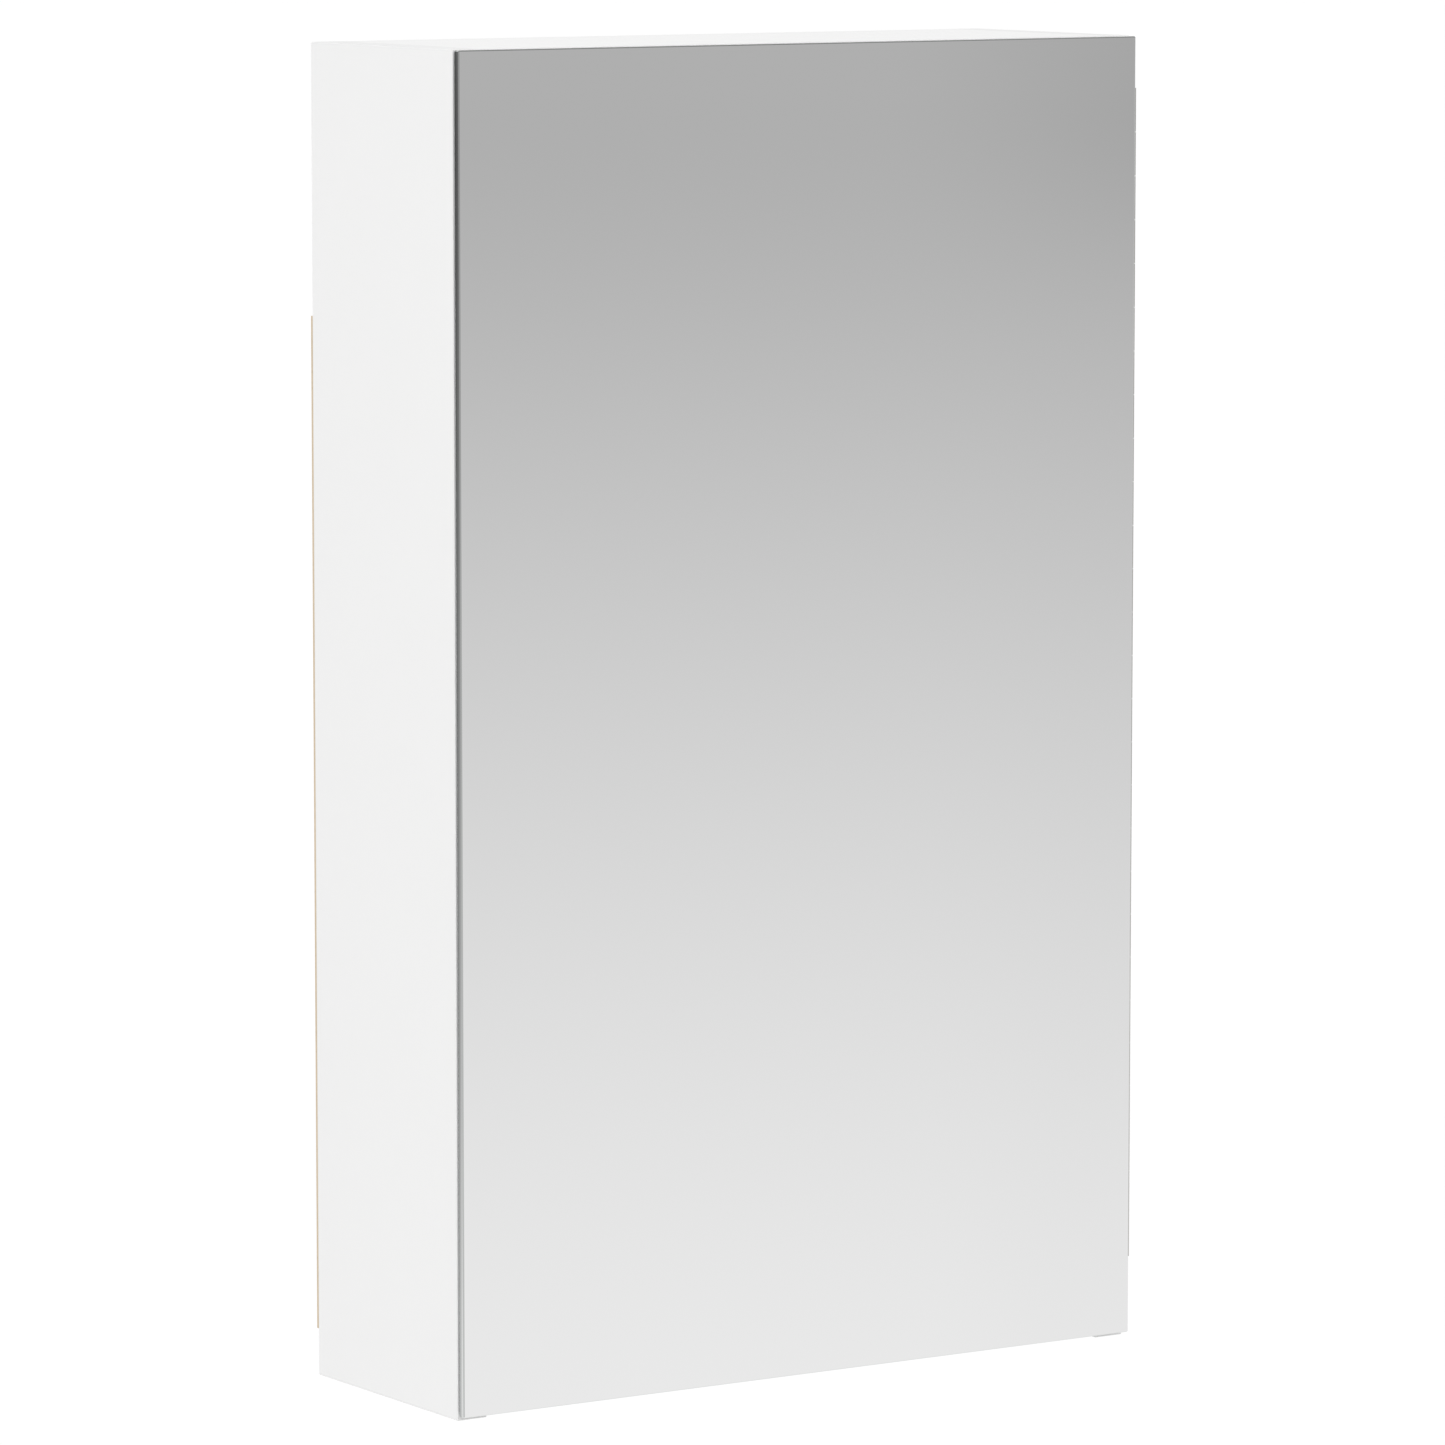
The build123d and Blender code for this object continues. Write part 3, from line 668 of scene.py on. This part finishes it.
def rubber_finish(settings):
    """Clear soft rubber with a satin skin."""
    finish, graph = new_finish("clear_rubber")
    place = graph.position()
    skin = graph.noise(place, scale=3000.0)
    colour = graph.mix(skin, shade(settings.rubber, 0.96), settings.rubber)
    surface = graph.shader(
        Base_Color=colour, Roughness=between(0.28, 0.4, skin), IOR=1.45,
        Transmission_Weight=0.3,
        Normal=graph.bump(skin, strength=0.2, depth=0.00003))
    close(graph, surface)
    dress(finish, "door_bumpers")


# Studio

NEAREST, FARTHEST = 0.4, 3.2  # natural logs of the distances, in metres, that the fall runs between
FALL = (0.041, -0.2165, 0.1508, 0.851)  # brightness by that log, from its cube to the constant
CORNER_FROM, CORNER_TO = 0.67, 0.75  # x over distance ahead where the studio's dim corner begins
CORNER_NEAR, CORNER_FAR = 0.015, 0.045  # how dim it is near the cabinet, and how much more far off
CORNER_DEEPENS = 2.4  # log of the distance from which it gets dimmer
LEAST_AHEAD, LEAST_RADIUS = 0.1, 0.5  # metres, to keep the ratios finite
DIM_NEAR, DIM_POWER = 1.5, -0.825  # brightness behind the cabinet on its left, by the distance
REAR_RIGHT = 0.92  # the same on its right, whatever the distance
SIDE_BLEND, REAR_BLEND = 0.4, 0.6  # sines over which right turns to left and ahead to behind
CATCH_SHARE = 0.75  # share of the floor's white that its shadow can darken
GLOW_NEAR, GLOW_FAR = 0.235, 0.295  # the rest, less where the lamps add theirs
LAMPS_END, ROOM_ALONE = 1.5, 5.0  # metres from the cabinet between which the lamps fade out
HORIZON, WALLS, CEILING = 0.46, 0.8, 0.36  # the room as polished surfaces see it
WALLS_FROM, WALLS_TO = -0.02, 0.25  # sines of the heights between which the walls get pale
CEILING_FROM, CEILING_TO = 0.6, 0.85
LAMP_SIZE = 2.4  # metres along each side
KEY_PLACE, FILL_PLACE, TOP_PLACE = (-3.0, -2.2, 1.8), (2.8, -2.2, 2.0), (0.0, -0.3, 2.5)
FLOOR_CORNERS = 96  # of the round floor
SENSOR_WIDTH = 36.0  # millimetres
FARTHEST_SEEN = 200.0  # metres


def floor_place(graph):
    """The point's x and y on the floor and its distance from the cabinet."""
    x, y = graph.parts(graph.position())[:2]
    return x, y, graph.maths("SQRT", x * x + y * y)


def floor_mirror_image(graph, x, y, radius):
    """The floor in polished surfaces: pale near the cabinet, grey far ahead, dim at the rear left."""
    reach = graph.smaller(graph.larger(graph.maths("LOGARITHM", radius, math.e), NEAREST), FARTHEST)
    cube, square, slope, start = FALL
    ahead = ((cube * reach + square) * reach + slope) * reach + start
    corner = graph.rise(x / graph.larger(0 - y, LEAST_AHEAD), CORNER_FROM, CORNER_TO)
    deeper = graph.rise(reach, CORNER_DEEPENS, FARTHEST)
    ahead = ahead - corner * (CORNER_NEAR + CORNER_FAR * deeper)
    fade = graph.maths("POWER", graph.larger(radius, LEAST_RADIUS), DIM_POWER)
    dim = graph.smaller(DIM_NEAR * fade, REAR_RIGHT)
    rear = between(REAR_RIGHT, dim, graph.rise(0 - x / radius, 0.0, SIDE_BLEND))
    return between(ahead, rear, graph.rise(y / radius, 0.0, REAR_BLEND))


def floor_finish(settings):
    """White to the camera and to glass, apart from the shadow; pale to the light it returns."""
    finish, graph = new_finish("studio_floor")
    ray = graph.node("ShaderNodeLightPath", output="Is Camera Ray")
    seen = graph.larger(ray, ray.out("Is Transmission Ray"))
    pale, catching = [settings.floor_white] * 3, [CATCH_SHARE] * 3
    bounce = graph.node("ShaderNodeBsdfDiffuse", sockets={"Color": opaque(pale)})
    catcher = graph.node("ShaderNodeBsdfDiffuse", sockets={"Color": opaque(catching)})
    x, y, radius = floor_place(graph)
    level = between(GLOW_NEAR, GLOW_FAR, graph.rise(radius, LAMPS_END, ROOM_ALONE))
    glow = graph.node("ShaderNodeEmission", sockets={"Strength": level})
    shown = graph.node("ShaderNodeAddShader", sockets={0: catcher, 1: glow})
    reflected = floor_mirror_image(graph, x, y, radius)
    image = graph.node("ShaderNodeEmission", sockets={"Strength": reflected})
    plain = graph.node("ShaderNodeMixShader", sockets={0: seen, 1: bounce, 2: shown})
    glossy = ray.out("Is Glossy Ray")
    surface = graph.node("ShaderNodeMixShader", sockets={0: glossy, 1: plain, 2: image})
    close(graph, surface)
    return finish


def make_floor(settings):
    """A round plain floor below the cabinet."""
    mesh = bpy.data.meshes.new("studio_floor")
    shape = bmesh.new()
    bmesh.ops.create_circle(
        shape, cap_ends=True, segments=FLOOR_CORNERS, radius=settings.floor_radius)
    shape.to_mesh(mesh)
    shape.free()
    floor = bpy.data.objects.new("studio_floor", mesh)
    bpy.context.scene.collection.objects.link(floor)
    floor.location = (0, 0, CAD_BOX[0].z - settings.floor_drop)
    mesh.materials.append(floor_finish(settings))


def make_room_light(settings):
    """Even light all round, white to the camera, with a grey horizon in polished surfaces."""
    world = bpy.data.worlds.new("studio_room")
    world.use_nodes = True
    bpy.context.scene.world = world
    graph = Graph(world.node_tree)
    direction = graph.node("ShaderNodeTexCoord", output="Generated")
    height = graph.parts(direction)[Z_AXIS]
    sky = between(HORIZON, WALLS, graph.rise(height, WALLS_FROM, WALLS_TO))
    sky = sky + (CEILING - WALLS) * graph.rise(height, CEILING_FROM, CEILING_TO)
    ray = graph.node("ShaderNodeLightPath", output="Is Camera Ray")
    seen = graph.larger(ray, ray.out("Is Transmission Ray"))
    level = between(settings.room_level, sky, ray.out("Is Glossy Ray"))
    strength = between(level, 1.0, seen)
    white = opaque((1.0, 1.0, 1.0))
    room = graph.node("ShaderNodeBackground", sockets={"Color": white, "Strength": strength})
    graph.node("ShaderNodeOutputWorld", sockets={"Surface": room})


def make_lamp(name, power, place, target):
    """A square lamp at a place, turned to a target."""
    lamp = bpy.data.lights.new(name, "AREA")
    lamp.shape = "SQUARE"
    lamp.size = LAMP_SIZE
    lamp.energy = power
    holder = bpy.data.objects.new(name, lamp)
    bpy.context.scene.collection.objects.link(holder)
    holder.location = place
    holder.rotation_euler = (target - Vector(place)).to_track_quat("-Z", "Y").to_euler()


def make_camera(settings):
    """A long lens at the photograph's viewing angle."""
    data = bpy.data.cameras.new("studio_camera")
    data.lens = settings.lens
    data.sensor_width = SENSOR_WIDTH
    data.clip_end = FARTHEST_SEEN
    camera = bpy.data.objects.new("studio_camera", data)
    bpy.context.scene.collection.objects.link(camera)
    side, down = settings.side_angle, settings.down_angle
    along = math.cos(down)
    sight = Vector((math.sin(side) * along, math.cos(side) * along, -math.sin(down)))
    camera.location = Vector(settings.aim) - sight * settings.distance
    camera.rotation_euler = sight.to_track_quat("-Z", "Y").to_euler()
    bpy.context.scene.camera = camera


# Operators

class CABINET_OT_boards(Operator):
    """Give the white boards their coating, edge bands and raw rear edges"""

    bl_idname = "cabinet.boards"
    bl_label = "White boards"

    def execute(self, context):
        for name in BOARDS:
            board_finish(name, context.scene.cabinet_boards)
        return {"FINISHED"}


class CABINET_OT_back_panel(Operator):
    """Give the thin back panel its foil and its raw fibre"""

    bl_idname = "cabinet.back_panel"
    bl_label = "Back panel"

    def execute(self, context):
        back_panel_finish(context.scene.cabinet_boards)
        return {"FINISHED"}


class CABINET_OT_mirror(Operator):
    """Silver the mirror, polish its edges and paint its rear"""

    bl_idname = "cabinet.mirror"
    bl_label = "Mirror"

    def execute(self, context):
        mirror_finish(context.scene.cabinet_mirror)
        return {"FINISHED"}


class CABINET_OT_shelves(Operator):
    """Make the two shelves clear glass"""

    bl_idname = "cabinet.shelves"
    bl_label = "Glass shelves"

    def execute(self, context):
        shelf_finish(context.scene.cabinet_glass)
        return {"FINISHED"}


class CABINET_OT_metal(Operator):
    """Plate the hinge, catch, screws and pins, and cast the joint fittings in zinc"""

    bl_idname = "cabinet.metal"
    bl_label = "Metal fittings"

    def execute(self, context):
        settings = context.scene.cabinet_metal
        for make in (nickel_finish, screw_finish, zinc_finish):
            make(settings)
        return {"FINISHED"}


class CABINET_OT_small_parts(Operator):
    """Finish the dowels, catch case, magnet, tape and bumpers"""

    bl_idname = "cabinet.small_parts"
    bl_label = "Small parts"

    def execute(self, context):
        settings = context.scene.cabinet_small_parts
        for make in (beech_finish, plastic_finish, magnet_finish, foam_finish, rubber_finish):
            make(settings)
        return {"FINISHED"}


class CABINET_OT_studio(Operator):
    """Set the floor, the light and the camera"""

    bl_idname = "cabinet.studio"
    bl_label = "Studio"

    def execute(self, context):
        settings = context.scene.cabinet_studio
        middle = (CAD_BOX[0] + CAD_BOX[1]) / 2
        make_floor(settings)
        make_room_light(settings)
        make_lamp("key_lamp", settings.key_level, KEY_PLACE, middle)
        make_lamp("fill_lamp", settings.fill_level, FILL_PLACE, middle)
        make_lamp("top_lamp", settings.top_level, TOP_PLACE, middle)
        make_camera(settings)
        context.scene.view_settings.view_transform = "Standard"
        return {"FINISHED"}


class CABINET_PT_tools(Panel):
    """Steps that finish the cabinet, with their sizes and colours"""

    bl_idname = "CABINET_PT_tools"
    bl_label = "Mirror cabinet"
    bl_space_type = "VIEW_3D"
    bl_region_type = "UI"
    bl_category = "Mirror cabinet"

    def draw(self, context):
        for operator, group in STEPS:
            box = self.layout.box()
            box.operator(operator.bl_idname)
            settings = getattr(context.scene, group)
            for name in settings.__annotations__:
                box.prop(settings, name)


SETTINGS = {
    "cabinet_boards": BoardSettings,
    "cabinet_mirror": MirrorSettings,
    "cabinet_glass": GlassSettings,
    "cabinet_metal": MetalSettings,
    "cabinet_small_parts": SmallPartSettings,
    "cabinet_studio": StudioSettings,
}
STEPS = (
    (CABINET_OT_boards, "cabinet_boards"),
    (CABINET_OT_back_panel, "cabinet_boards"),
    (CABINET_OT_mirror, "cabinet_mirror"),
    (CABINET_OT_shelves, "cabinet_glass"),
    (CABINET_OT_metal, "cabinet_metal"),
    (CABINET_OT_small_parts, "cabinet_small_parts"),
    (CABINET_OT_studio, "cabinet_studio"),
)
CLASSES = (*SETTINGS.values(), *(operator for operator, group in STEPS), CABINET_PT_tools)


def register():
    for made in CLASSES:
        bpy.utils.register_class(made)
    for name, group in SETTINGS.items():
        setattr(bpy.types.Scene, name, PointerProperty(type=group))


def unregister():
    for name in SETTINGS:
        delattr(bpy.types.Scene, name)
    for made in reversed(CLASSES):
        bpy.utils.unregister_class(made)


def main():
    register()
    bpy.ops.cabinet.boards()
    bpy.ops.cabinet.back_panel()
    bpy.ops.cabinet.mirror()
    bpy.ops.cabinet.shelves()
    bpy.ops.cabinet.metal()
    bpy.ops.cabinet.small_parts()
    bpy.ops.cabinet.studio()


if __name__ == "__main__":
    main()
